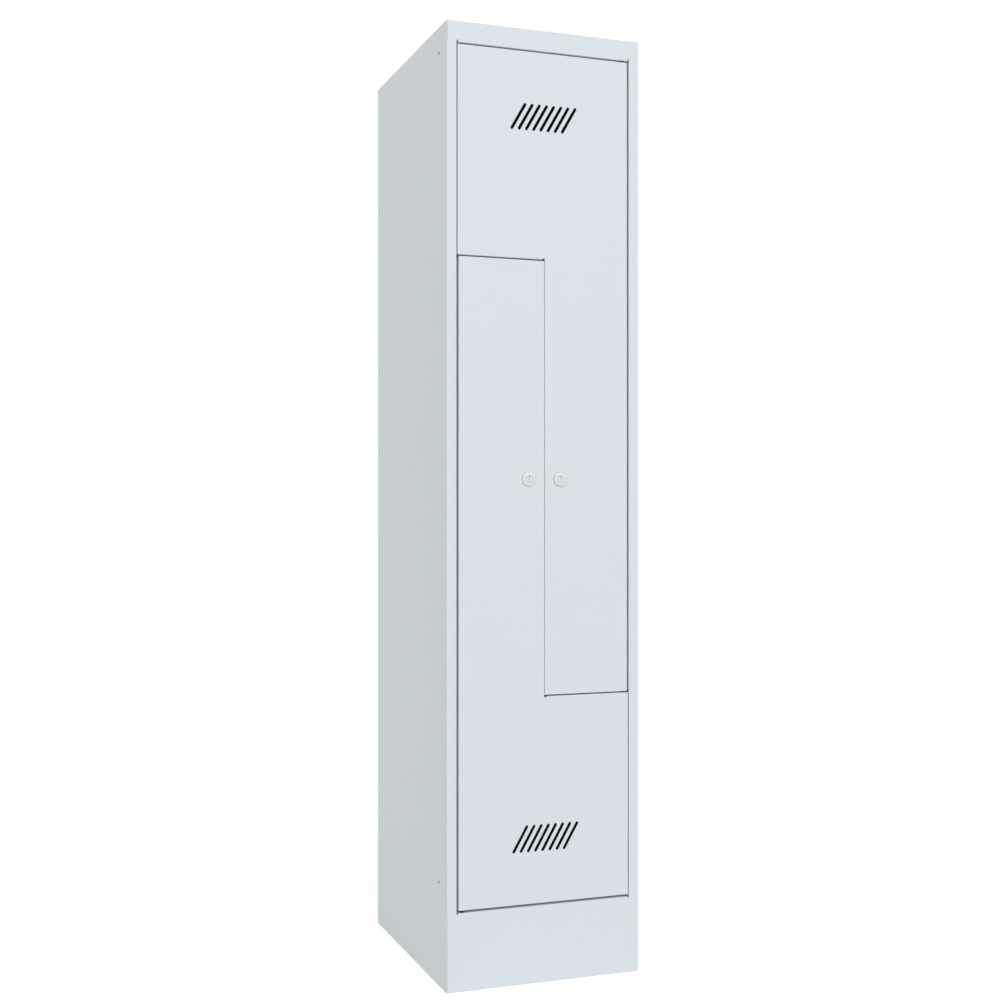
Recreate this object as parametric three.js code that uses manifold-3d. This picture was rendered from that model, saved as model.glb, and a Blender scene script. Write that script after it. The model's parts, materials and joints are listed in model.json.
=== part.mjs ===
// Two-person steel locker with interlocking Z-shaped compartments.
// Two L-shaped doors, each the half-turned twin of the other, close a cabinet of bent sheet steel
// on a closed plinth.
// Millimetres, +Z up, front towards -Y, origin on the floor under the middle of the cabinet.
import * as THREE from "three";
import { mergeVertices } from "three/addons/utils/BufferGeometryUtils.js";
import Module from "manifold-3d";

// Overall size
const cabinetWidth = 400;
const cabinetDepth = 500;
const cabinetHeight = 1850;

// Front frame
const plinthHeight = 150;
const topRailHeight = 40;
const stileWidth = 20;
const stopDepth = 22;
const stopLip = 12;

// Sheet and fits
const bodySheet = 0.8;
const bodyBend = 1.5;
const seatGap = 0.3;
const rearFlange = 15;
const footFlange = 20;
const endFlange = 20;
const flangeOverlap = 8;
const cornerRelief = 3;
const weldFlange = 15;
const roofFlange = 20;
const cornerNotchWidth = 2.4;
const topNotchHeight = 4;
const bottomNotchHeight = 2;

// Joining holes, for bolting lockers side by side
const joiningHoleRadius = 3.5;
const joiningHoleSetback = 50;
const joiningHoleFromFloor = 200;
const joiningHoleFromTop = 50;

// The step: the doors stand side by side over twice this height, about the middle of both doors
const stepRise = 423.5;

// Gaps round the doors: at the hinge and closing stiles, between the doors, at the steps, above and below
const hingeGap = 4;
const closingGap = 1.8;
const seamGap = 0.7;
const stepGap = 2.4;
const topGap = 3;
const bottomGap = 4.4;

// Shelves and partition
const shelfNose = 14;
const shelfHem = 8;
const partitionStopWidth = 14;
const partitionStopLeg = 20;
const partitionRearFlange = 15;

// Doors
const doorDepth = 17;
const doorSheet = 1;
const doorBend = 1.5;
const doorLip = 12;
const innerReliefWidth = 4.3;
const innerReliefDepth = 2;
const pivotInset = 9;
const pivotSetback = 6;

// Vent slots
const slotCount = 8;
const slotPitch = 15;
const slotLength = 60;
const slotWidth = 6;
const slotLean = Math.PI / 6;
const slotRise = 127;
const slotShift = 2;

// Door stiffeners, hat sections
const stiffenerTop = 30;
const stiffenerFoot = 10;
const stiffenerDepth = 12;
const stiffenerFromSide = 62;
const stiffenerEndGap = 17;

// Pivots
const pinRadius = 2.5;
const pinHeadRadius = 4.5;
const pinHeadHeight = 1.5;
const pinReach = 12;
const pinClearance = 0.2;
const bushWall = 1;
const bushCollar = 1;
const bushCollarHeight = 1.5;
const bracketThickness = 1.2;
const bracketOuter = 3;
const bracketSetback = 3;
const bracketDepth = 13;

// Locks
const lockOffset = 33;
const lockHeight = 978;
const rosetteRadius = 14;
const rosetteRim = 1.2;
const rosetteHeight = 3;
const rosetteCrown = 9.5;
const barrelRadius = 9;
const plugRadius = 7;
const nutFlats = 24;
const nutHeight = 4;
const keySlotWidth = 2;
const keySlotHeight = 9;
const keySlotDepth = 8;
const plugRecess = 0.4;
const camThickness = 2;
const camWidth = 16;
const camReach = 29;
const camBehindStop = 1;
const tailSize = 7;
const tailProud = 0.4;
const camScrewRadius = 2;
const camScrewHead = 5;
const camScrewHeadHeight = 2.6;
const camScrewLength = 8;

// Clothes rails
const railRadius = 9;
const railWall = 1.2;
const upperRailDrop = 60;
const lowerRailDrop = 56;
const railSetback = 10;
const socketRadius = 15;
const socketPlate = 2.5;
const socketWall = 2;
const socketDepth = 12;

// Sliding hooks
const hookWidth = 12;
const hookRingWall = 3;
const hookClearance = 0.35;
const hookRod = 2.5;
const hookDrop = 32;
const hookBowl = 11;
const hookTip = 8;
const hookSpacing = 80;

// Door buffers
const bufferRadius = 4;
const bufferInset = 6.5;
const stileBufferFromEnd = 110;
const middleBufferFromStep = 63.5;

// Facets
const bendSteps = 3;
const roundSteps = 8;
const slotEndSteps = 3;
const hookRodSides = 8;
const hookArcSteps = 6;

// Cutters run past the faces that they cut by this much
const overrun = 2;

// Planes worked out from the sizes above
const halfWidth = cabinetWidth / 2;
const frontFace = -cabinetDepth / 2;
const rearFace = cabinetDepth / 2;
const openingHalf = halfWidth - stileWidth;
const openingBottom = plinthHeight;
const openingTop = cabinetHeight - topRailHeight;
const doorsMiddle = (openingBottom + bottomGap + openingTop - topGap) / 2;
const stopFace = frontFace + stopDepth;
const lipHalf = openingHalf - stopLip;
const wallInside = halfWidth - bodySheet;
const panelHalf = wallInside - seatGap;
const backOutside = rearFace - bodySheet - seatGap;
const memberRear = backOutside - bodySheet - seatGap;
const memberFront = stopFace + bodySheet + seatGap;
const upperStep = doorsMiddle + stepRise;
const lowerStep = doorsMiddle - stepRise;
const halfSheet = bodySheet / 2;
const doorHingeSide = openingHalf - hingeGap;
const doorClosingSide = openingHalf - closingGap;
const doorBottom = openingBottom + bottomGap;
const doorShoulder = lowerStep - stepGap / 2;
const doorTop = upperStep - stepGap / 2;
const doorBack = frontFace + doorDepth;
const pivotX = doorHingeSide - pivotInset;
const pivotY = frontFace + pivotSetback;

const wasm = await Module();
wasm.setup();

// Turns a closed geometry into a solid that can be joined and cut
function solidOf(geometry) {
  const bare = geometry.clone();
  bare.deleteAttribute("normal");
  bare.deleteAttribute("uv");
  const merged = mergeVertices(bare);
  const triVerts = new Uint32Array(merged.index.array);
  const vertProperties = merged.attributes.position.array;
  return new wasm.Manifold(new wasm.Mesh({ numProp: 3, vertProperties, triVerts }));
}

function geometryOf(solid) {
  const mesh = solid.getMesh();
  const geometry = new THREE.BufferGeometry();
  geometry.setAttribute("position", new THREE.BufferAttribute(mesh.vertProperties, 3));
  geometry.setIndex(new THREE.BufferAttribute(mesh.triVerts, 1));
  geometry.computeVertexNormals();
  return geometry;
}

const join = (...solids) => solids.reduce((whole, next) => whole.add(next));
const cut = (solid, ...cutters) => cutters.reduce((whole, next) => whole.subtract(next), solid);

function extrusion(shape, length, bevel) {
  const options = { depth: length, curveSegments: roundSteps, bevelEnabled: false };
  if (!bevel) return new THREE.ExtrudeGeometry(shape, options);
  options.depth = length - 2 * bevel;
  options.bevelEnabled = true;
  options.bevelThickness = bevel;
  options.bevelSize = bevel;
  options.bevelOffset = -bevel;
  options.bevelSegments = bendSteps;
  return new THREE.ExtrudeGeometry(shape, options).translate(0, 0, bevel);
}

// A profile drawn in x and y, carried up from z0 to z1
function upright(shape, z0, z1) {
  return solidOf(extrusion(shape, z1 - z0).translate(0, 0, z0));
}

// A profile drawn in y and z, carried across from x0 to x1
function crosswise(shape, x0, x1) {
  const turn = new THREE.Matrix4().makeBasis(
    new THREE.Vector3(0, 1, 0),
    new THREE.Vector3(0, 0, 1),
    new THREE.Vector3(1, 0, 0),
  );
  return solidOf(extrusion(shape, x1 - x0).applyMatrix4(turn).translate(x0, 0, 0));
}

// A profile drawn in x and z, carried rearward from y0 to y1, with rounded ends where a bevel is given
function rearward(shape, y0, y1, bevel) {
  const turn = new THREE.Matrix4().makeBasis(
    new THREE.Vector3(1, 0, 0),
    new THREE.Vector3(0, 0, 1),
    new THREE.Vector3(0, -1, 0),
  );
  return solidOf(extrusion(shape, y1 - y0, bevel).applyMatrix4(turn).translate(0, y1, 0));
}

function block([x0, x1], [y0, y1], [z0, z1]) {
  const box = new THREE.BoxGeometry(Math.abs(x1 - x0), Math.abs(y1 - y0), Math.abs(z1 - z0));
  return solidOf(box.translate((x0 + x1) / 2, (y0 + y1) / 2, (z0 + z1) / 2));
}

function polygon(points) {
  return new THREE.Shape(points.map(([u, v]) => new THREE.Vector2(u, v)));
}

function disc(u, v, radius) {
  return new THREE.Shape().absarc(u, v, radius, 0, 2 * Math.PI, false);
}

function ring(u, v, outer, inner) {
  const shape = disc(u, v, outer);
  shape.holes.push(disc(u, v, inner));
  return shape;
}

// The section of a bent sheet. The path runs along one face, the material lies to its left (side 1)
// or right (side -1), and each corner is a bend with the given outside radius.
function bentSheet(path, side, sheet = bodySheet, outside = bodyBend) {
  const face = [];
  const other = [];
  path.forEach((point, i) => {
    const here = new THREE.Vector2(...point);
    const before = path[i - 1] && here.clone().sub(new THREE.Vector2(...path[i - 1])).normalize();
    const after = path[i + 1] && new THREE.Vector2(...path[i + 1]).sub(here).normalize();
    const normalOf = (d) => new THREE.Vector2(-d.y, d.x).multiplyScalar(side);
    if (!before || !after) {
      const normal = normalOf(before ?? after);
      face.push(here);
      other.push(here.clone().addScaledVector(normal, sheet));
      return;
    }
    const turn = Math.sign(before.cross(after));
    const faceRadius = turn === side ? outside : outside - sheet;
    const otherRadius = turn === side ? outside - sheet : outside;
    const bendAngle = Math.acos(before.dot(after));
    const start = here.clone().addScaledVector(before, -faceRadius * Math.tan(bendAngle / 2));
    const toCentre = new THREE.Vector2(-before.y, before.x).multiplyScalar(turn);
    const centre = start.clone().addScaledVector(toCentre, faceRadius);
    for (let k = 0; k <= bendSteps; k++) {
      const swept = (turn * bendAngle * k) / bendSteps;
      const outward = toCentre.clone().negate().rotateAround(new THREE.Vector2(), swept);
      face.push(centre.clone().addScaledVector(outward, faceRadius));
      other.push(centre.clone().addScaledVector(outward, otherRadius));
    }
  });
  return new THREE.Shape([...face, ...other.reverse()]);
}

// A side wall with its front stile, jamb and stop lip, its rear flange and its foot, bent from one sheet
function sideWall(side) {
  const section = [
    [lipHalf, stopFace],
    [openingHalf, stopFace],
    [openingHalf, frontFace],
    [halfWidth, frontFace],
    [halfWidth, rearFace],
    [halfWidth - rearFlange, rearFace],
  ];
  const path = section.map(([x, y]) => [side * x, y]);
  const wall = upright(bentSheet(path, side), 0, cabinetHeight);
  const foot = block(
    [side * (halfWidth - footFlange), side * halfWidth],
    [stopFace + bodySheet, memberRear - weldFlange],
    [0, bodySheet],
  );
  // Above and below the door opening only the flat of the wall stays, behind the rail and the plinth
  const pastEnds = [
    [-overrun, openingBottom + seatGap],
    [openingTop - seatGap, cabinetHeight + overrun],
  ];
  const endNotches = pastEnds.flatMap((span) => [
    block([0, side * wallInside], [frontFace - overrun, stopFace + bodySheet + overrun], span),
    block([0, side * (halfWidth + overrun)], [frontFace - overrun, frontFace + bodyBend], span),
  ]);
  const joiningHoles = [joiningHoleFromFloor, cabinetHeight - joiningHoleFromTop].map((z) => {
    const hole = disc(frontFace + joiningHoleSetback, z, joiningHoleRadius);
    const ends = [side * (wallInside - overrun), side * (halfWidth + overrun)].sort((a, b) => a - b);
    return crosswise(hole, ...ends);
  });
  const bracketLevel = side < 0 ? upperStep : lowerStep;
  const bracketSlot = block(
    [side * (openingHalf - overrun), side * (openingHalf + bodySheet + seatGap)],
    [frontFace + bracketSetback - seatGap, frontFace + bracketSetback + bracketDepth + seatGap],
    [bracketLevel - bracketThickness / 2 - seatGap, bracketLevel + bracketThickness / 2 + seatGap],
  );
  return join(cut(wall, ...endNotches, ...joiningHoles, bracketSlot), foot);
}

// The back sheet, with a foot flange turned in along the floor
function backPanel() {
  const section = [
    [backOutside - weldFlange, 0],
    [backOutside, 0],
    [backOutside, cabinetHeight - bodySheet - seatGap],
  ];
  return crosswise(bentSheet(section, 1), -panelHalf, panelHalf);
}

// The end of a rail or plinth face, turned back inside the side wall
function faceEnd(side, z0, z1) {
  const path = [
    [side * panelHalf, frontFace + endFlange],
    [side * panelHalf, frontFace],
    [side * (panelHalf - flangeOverlap), frontFace],
  ];
  return upright(bentSheet(path, -side), z0, z1);
}

function pivotHole(x, z0, z1) {
  return upright(disc(x, pivotY, pinRadius + seatGap), z0, z1);
}

// The relief notches at the corners of the door opening, cut through a face and its return
function cornerNotches(z0, z1) {
  return [-1, 1].map((side) =>
    block(
      [side * (openingHalf - cornerNotchWidth), side * openingHalf],
      [frontFace - overrun, stopFace - overrun],
      [z0, z1],
    ),
  );
}

// The stop lips of roof and plinth end where the lips of the stiles begin
function lipEndCuts(z0, z1) {
  return [-1, 1].map((side) =>
    block(
      [side * (lipHalf - seatGap), side * (halfWidth + overrun)],
      [stopFace - overrun, stopFace + bodySheet + overrun],
      [z0, z1],
    ),
  );
}

// Roof, front top rail and the upper door stop, bent from one sheet
function roofPanel() {
  const section = [
    [rearFace, cabinetHeight - roofFlange],
    [rearFace, cabinetHeight],
    [frontFace, cabinetHeight],
    [frontFace, openingTop],
    [stopFace, openingTop],
    [stopFace, openingTop - stopLip],
  ];
  const flat = panelHalf - bodyBend;
  const main = crosswise(bentSheet(section, 1), -flat, flat);
  const sideFlanges = [-1, 1].map((side) => {
    const path = [
      [side * panelHalf, cabinetHeight - roofFlange],
      [side * panelHalf, cabinetHeight],
      [side * (panelHalf - flangeOverlap), cabinetHeight],
    ];
    return rearward(bentSheet(path, side), frontFace + bodyBend, memberRear);
  });
  const railEnds = [-1, 1].map((side) => faceEnd(side, openingTop + bodyBend, cabinetHeight - bodyBend));
  const rearCorners = [-1, 1].map((side) =>
    block(
      [side * (halfWidth - rearFlange - seatGap), side * (halfWidth + overrun)],
      [backOutside, rearFace + overrun],
      [cabinetHeight - roofFlange - overrun, cabinetHeight + overrun],
    ),
  );
  return cut(
    join(main, ...sideFlanges, ...railEnds),
    ...rearCorners,
    ...lipEndCuts(openingTop - stopLip - overrun, openingTop),
    ...cornerNotches(openingTop - overrun, openingTop + topNotchHeight),
    pivotHole(pivotX, openingTop - overrun, openingTop + overrun),
  );
}

// Plinth face with its foot, top return and the lower door stop
function plinthPanel() {
  const section = [
    [frontFace + footFlange, 0],
    [frontFace, 0],
    [frontFace, openingBottom],
    [stopFace, openingBottom],
    [stopFace, openingBottom + stopLip],
  ];
  const flat = panelHalf - bodyBend;
  const main = crosswise(bentSheet(section, -1), -flat, flat);
  const ends = [-1, 1].map((side) => faceEnd(side, bodyBend, openingBottom - bodyBend));
  return cut(
    join(main, ...ends),
    ...lipEndCuts(openingBottom, openingBottom + stopLip + overrun),
    ...cornerNotches(openingBottom - bottomNotchHeight, openingBottom + overrun),
    pivotHole(-pivotX, openingBottom - overrun, openingBottom + overrun),
  );
}

// A flat tray with flanges turned down on all four sides; its corners stay open, as folded corners do
function tray([x0, x1], [y0, y1], top, drop) {
  const across = [
    [x0, top - drop],
    [x0, top],
    [x1, top],
    [x1, top - drop],
  ];
  const along = [
    [y1, top - drop],
    [y1, top],
    [y0, top],
    [y0, top - drop],
  ];
  return join(
    rearward(bentSheet(across, -1), y0 + cornerRelief, y1 - cornerRelief),
    crosswise(bentSheet(along, 1), x0 + cornerRelief, x1 - cornerRelief),
  );
}

function floorPanel() {
  return tray([-panelHalf, panelHalf], [memberFront, memberRear], openingBottom, weldFlange);
}

// The left shelf: a tray that reaches over the partition, with a hemmed nose behind the door seam
function shelfPanel() {
  const top = upperStep + halfSheet;
  const right = halfSheet + seatGap + bodySheet;
  const noseLeft = -lipHalf + seatGap;
  const noseRight = -(partitionStopWidth + seatGap);
  const bed = tray([-panelHalf, right], [memberFront, memberRear], top, weldFlange);
  const frontFlange = block(
    [-panelHalf + cornerRelief, right - cornerRelief],
    [stopFace - overrun, memberFront + bodyBend],
    [top - weldFlange - overrun, top - bodySheet],
  );
  const rearFlangeEnd = block(
    [-(partitionRearFlange + seatGap), right - bodySheet - seatGap],
    [memberRear - bodyBend, memberRear + overrun],
    [top - weldFlange - overrun, top - bodySheet],
  );
  const nose = [
    [memberFront + flangeOverlap, top],
    [stopFace, top],
    [stopFace, top - shelfNose],
    [stopFace + shelfHem, top - shelfNose],
  ];
  return join(cut(bed, frontFlange, rearFlangeEnd), crosswise(bentSheet(nose, 1), noseLeft, noseRight));
}

// The upright partition, whose front flange is the stop and strike of the lower door
function partitionPanel() {
  const section = [
    [-partitionStopWidth, stopFace],
    [halfSheet, stopFace],
    [halfSheet, memberRear - bodySheet],
    [partitionRearFlange, memberRear - bodySheet],
  ];
  return upright(bentSheet(section, 1), lowerStep + halfSheet + seatGap, upperStep - halfSheet - seatGap);
}

// The angle on the partition's other face, the stop and strike of the upper door
function partitionStop() {
  const near = halfSheet + seatGap;
  const section = [
    [near + partitionStopWidth, stopFace],
    [near, stopFace],
    [near, stopFace + partitionStopLeg],
  ];
  const endClearance = weldFlange + seatGap;
  return upright(bentSheet(section, -1), lowerStep + endClearance, upperStep - endClearance);
}

// The lower door's outline, drawn in by an inset: narrow above the step, full width below it
function doorOutline(inset) {
  const left = -doorHingeSide + inset;
  const seam = -seamGap / 2 - inset;
  const right = doorClosingSide - inset;
  const bottom = doorBottom + inset;
  const shoulder = doorShoulder - inset;
  const top = doorTop - inset;
  return polygon([
    [left, bottom],
    [right, bottom],
    [right, shoulder],
    [seam, shoulder],
    [seam, top],
    [left, top],
  ]);
}

function ventSlot(i) {
  const radius = slotWidth / 2;
  const reach = slotLength / 2 - radius;
  const x = slotShift + (i - (slotCount - 1) / 2) * slotPitch;
  const z = doorBottom + slotRise;
  const dx = reach * Math.sin(slotLean);
  const dz = reach * Math.cos(slotLean);
  const shape = new THREE.Shape();
  shape.absarc(x + dx, z + dz, radius, -slotLean, Math.PI - slotLean, false);
  shape.absarc(x - dx, z - dz, radius, Math.PI - slotLean, 2 * Math.PI - slotLean, false);
  const outline = new THREE.Shape(shape.getPoints(slotEndSteps));
  return rearward(outline, frontFace - overrun, frontFace + doorSheet + overrun);
}

// The relief at a door's inner corner, beside the seam, where the flanges of the step and the seam part
function innerRelief() {
  return block(
    [-seamGap / 2, -seamGap / 2 + innerReliefWidth],
    [frontFace - overrun, doorBack + overrun],
    [doorShoulder - innerReliefDepth, doorShoulder + overrun],
  );
}

// The L-shaped pan of a door, its edges turned back and in, with vents, lock hole and pivot holes.
// lockX is where the lock sits before the door is turned into place.
function doorPanel(lockX, lockZ) {
  const inner = doorBend - doorSheet;
  const slots = Array.from({ length: slotCount }, (_, i) => ventSlot(i));
  const lockHole = disc(lockX, lockZ, barrelRadius + seatGap);
  const bushHole = disc(-pivotX, pivotY, pinRadius + pinClearance + bushWall + seatGap);
  return cut(
    rearward(doorOutline(0), frontFace, doorBack, doorBend),
    rearward(doorOutline(doorSheet), frontFace + doorSheet, doorBack - doorSheet, inner),
    rearward(doorOutline(doorLip), doorBack - doorSheet - overrun, doorBack + overrun),
    innerRelief(),
    ...slots,
    rearward(lockHole, frontFace - overrun, frontFace + doorSheet + overrun),
    upright(bushHole, doorBottom - overrun, doorBottom + doorSheet + overrun),
    upright(bushHole, doorTop - doorSheet - overrun, doorTop + overrun),
  );
}

// A hat-section stiffener, spot-welded behind the door face
function stiffener(x, z0, z1) {
  const seat = frontFace + doorSheet + seatGap;
  const crest = seat + stiffenerDepth;
  const half = stiffenerTop / 2;
  const section = [
    [x - half - stiffenerFoot, seat],
    [x - half, seat],
    [x - half, crest],
    [x + half, crest],
    [x + half, seat],
    [x + half + stiffenerFoot, seat],
  ];
  return upright(bentSheet(section, 1), z0, z1);
}

// A nylon bush in a door edge: a nose in the door gap, a body through the edge and a collar inside the pan.
// inward is 1 where the pan lies above the edge and -1 where it lies below.
function bush(edge, inward, noseLength) {
  const bore = pinRadius + pinClearance;
  const body = bore + bushWall;
  const collarStart = edge + inward * (doorSheet + seatGap);
  const collarEnd = collarStart + inward * bushCollarHeight;
  const span = [edge - inward * noseLength, collarEnd].sort((a, b) => a - b);
  const collar = [collarStart, collarEnd].sort((a, b) => a - b);
  return join(
    upright(ring(-pivotX, pivotY, body, bore), ...span),
    upright(ring(-pivotX, pivotY, body + bushCollar, bore), ...collar),
  );
}

// The riveted pin in the return of plinth or roof that carries the end of a door.
// frameEdge is the face of that return.
function outerPin(frameEdge) {
  const seat = frameEdge - bodySheet - seatGap;
  return join(
    upright(disc(-pivotX, pivotY, pinHeadRadius), seat - pinHeadHeight, seat),
    upright(disc(-pivotX, pivotY, pinRadius), seat - pinHeadHeight / 2, doorBottom + pinReach),
  );
}

// The plate let through the jamb at the step, with the pin that holds the other end of the door
function middlePivot() {
  const under = upperStep - bracketThickness / 2;
  const front = frontFace + bracketSetback;
  return join(
    block(
      [-panelHalf, -(pivotX - pinRadius - bracketOuter)],
      [front, front + bracketDepth],
      [under, under + bracketThickness],
    ),
    upright(disc(-pivotX, pivotY, pinRadius), under - pinReach, under + bracketThickness / 2),
  );
}

// A rubber buffer on a stop, just clear of the closed door
function buffer(x, z) {
  return rearward(disc(x, z, bufferRadius), doorBack + seatGap, stopFace - seatGap);
}

// Lock parts, about an axis at x and z
function lockHousing(x, z) {
  const seat = frontFace - seatGap;
  const front = seat - rosetteHeight;
  const bore = plugRadius + seatGap;
  const rear = stopFace + bodySheet + camBehindStop - seatGap;
  const dome = [];
  for (let k = 0; k <= bendSteps; k++) {
    const angle = (k / bendSteps) * (Math.PI / 2);
    const radius = rosetteCrown + (rosetteRadius - rosetteCrown) * Math.cos(angle);
    dome.push([radius, seat - rosetteRim - (rosetteHeight - rosetteRim) * Math.sin(angle)]);
  }
  const profile = [
    [bore, front],
    [bore, rear],
    [barrelRadius, rear],
    [barrelRadius, seat],
    [rosetteRadius, seat],
    ...dome,
    [bore, front],
  ];
  const points = profile.reverse().map(([radius, y]) => new THREE.Vector2(radius, y));
  return solidOf(new THREE.LatheGeometry(points, 3 * roundSteps).translate(x, 0, z));
}

function lockNut(x, z) {
  const corner = nutFlats / 2 / Math.cos(Math.PI / 6);
  const corners = Array.from({ length: 6 }, (_, i) => {
    const angle = (i * Math.PI) / 3;
    return [x + corner * Math.cos(angle), z + corner * Math.sin(angle)];
  });
  const shape = polygon(corners);
  shape.holes.push(disc(x, z, barrelRadius + seatGap));
  const seat = frontFace + doorSheet + seatGap;
  return rearward(shape, seat, seat + nutHeight);
}

function square(x, z, size) {
  const half = size / 2;
  return polygon([
    [x - half, z - half],
    [x + half, z - half],
    [x + half, z + half],
    [x - half, z + half],
  ]);
}

const camFront = stopFace + bodySheet + camBehindStop;
const camRear = camFront + camThickness;
const plugFront = frontFace - seatGap - rosetteHeight + plugRecess;

function lockPlug(x, z) {
  const tailEnd = camRear + tailProud;
  const keySlot = block(
    [x - keySlotWidth / 2, x + keySlotWidth / 2],
    [plugFront - overrun, plugFront + keySlotDepth],
    [z - keySlotHeight / 3, z + (keySlotHeight * 2) / 3],
  );
  return cut(
    join(
      rearward(disc(x, z, plugRadius), plugFront, camFront - seatGap),
      rearward(square(x, z, tailSize), camFront - camThickness, tailEnd),
    ),
    keySlot,
    rearward(disc(x, z, camScrewRadius + seatGap), tailEnd - camScrewLength - seatGap, tailEnd + overrun),
  );
}

function lockCam(x, z) {
  const radius = camWidth / 2;
  const shape = new THREE.Shape();
  shape.absarc(x, z, radius, 0, Math.PI, false);
  shape.absarc(x, z - camReach + radius, radius, Math.PI, 2 * Math.PI, false);
  const tailHole = square(x, z, tailSize + 2 * seatGap);
  return cut(rearward(shape, camFront, camRear), rearward(tailHole, camFront - overrun, camRear + overrun));
}

function camScrew(x, z) {
  const under = camRear + tailProud + seatGap;
  const shankFront = camRear + tailProud - camScrewLength;
  return join(
    rearward(disc(x, z, camScrewHead), under, under + camScrewHeadHeight),
    rearward(disc(x, z, camScrewRadius), shankFront, under + camScrewHeadHeight / 2),
  );
}

// A clothes rail and its sockets, between two faces x0 and x1
const railY = railSetback;

function clothesRail(x0, x1, z) {
  const ends = socketPlate + 2 * seatGap;
  return crosswise(ring(railY, z, railRadius, railRadius - railWall), x0 + ends, x1 - ends);
}

function railSocket(face, inward, z) {
  const seat = face + inward * seatGap;
  const plateEnd = seat + inward * socketPlate;
  const cupEnd = seat + inward * socketDepth;
  const inside = railRadius + seatGap;
  const plate = [seat, plateEnd].sort((a, b) => a - b);
  const cup = [seat + (inward * socketPlate) / 2, cupEnd].sort((a, b) => a - b);
  return join(
    crosswise(disc(railY, z, socketRadius), ...plate),
    crosswise(ring(railY, z, inside + socketWall, inside), ...cup),
  );
}

// A hook that slides on a rail: a ring, a stem and an upturned bowl that opens to the front
function slidingHook(x, railZ) {
  const bore = railRadius + hookClearance;
  const eye = ring(railY, railZ, bore + hookRingWall, bore);
  const collar = crosswise(eye, x - hookWidth / 2, x + hookWidth / 2);
  const points = [
    new THREE.Vector3(x, railY, railZ - bore - hookRingWall / 2),
    new THREE.Vector3(x, railY, railZ - (bore + hookDrop) / 2),
  ];
  for (let k = 0; k <= hookArcSteps; k++) {
    const angle = (k / hookArcSteps) * Math.PI;
    const y = railY - hookBowl + hookBowl * Math.cos(angle);
    points.push(new THREE.Vector3(x, y, railZ - hookDrop - hookBowl * Math.sin(angle)));
  }
  points.push(new THREE.Vector3(x, railY - 2 * hookBowl, railZ - hookDrop + hookTip));
  const path = new THREE.CatmullRomCurve3(points, false, "centripetal");
  const section = Array.from({ length: hookRodSides }, (_, i) => {
    const angle = (2 * Math.PI * i) / hookRodSides;
    return [hookRod * Math.cos(angle), hookRod * Math.sin(angle)];
  });
  const rod = new THREE.ExtrudeGeometry(polygon(section), { steps: 3 * hookArcSteps, extrudePath: path });
  return join(collar, solidOf(rod));
}

// Finishes
const painted = new THREE.MeshStandardMaterial({ color: 0xdae3e8, roughness: 0.5, metalness: 0 });
const zinc = new THREE.MeshStandardMaterial({ color: 0xb9bcc0, roughness: 0.35, metalness: 0.9 });
const chrome = new THREE.MeshStandardMaterial({ color: 0xd5d8da, roughness: 0.12, metalness: 1 });
const nickel = new THREE.MeshStandardMaterial({ color: 0xd9ddd2, roughness: 0.28, metalness: 0.8 });
const blackened = new THREE.MeshStandardMaterial({ color: 0x35373a, roughness: 0.45, metalness: 0.8 });
const nylon = new THREE.MeshStandardMaterial({ color: 0x2b2c2e, roughness: 0.55, metalness: 0 });
const greyPlastic = new THREE.MeshStandardMaterial({ color: 0x8f9599, roughness: 0.5, metalness: 0 });
const rubber = new THREE.MeshStandardMaterial({ color: 0x2c2e30, roughness: 0.85, metalness: 0 });

const locker = new THREE.Group();

function add(parent, name, solid, material) {
  const mesh = new THREE.Mesh(geometryOf(solid), material);
  mesh.name = name;
  parent.add(mesh);
}

// A group that carries the lower half's pieces, or their half-turned twins about the middle of both doors
function halfGroup(turned) {
  const group = new THREE.Group();
  if (turned) {
    group.rotation.y = Math.PI;
    group.position.z = 2 * doorsMiddle;
  }
  locker.add(group);
  return group;
}

// Cabinet
add(locker, "left_side_wall", sideWall(-1), painted);
add(locker, "right_side_wall", sideWall(1), painted);
add(locker, "back_panel", backPanel(), painted);
add(locker, "roof_and_top_rail", roofPanel(), painted);
add(locker, "plinth", plinthPanel(), painted);
add(locker, "floor_panel", floorPanel(), painted);
add(locker, "partition", partitionPanel(), painted);
add(locker, "partition_stop_angle", partitionStop(), painted);

// Places that the twins share
const stiffenerBottom = doorBottom + stiffenerEndGap;
const bracketClearance = (stepGap - bracketThickness) / 2;
const stileBufferX = -(openingHalf - bufferInset);
const middleBufferX = -partitionStopWidth / 2;

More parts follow.
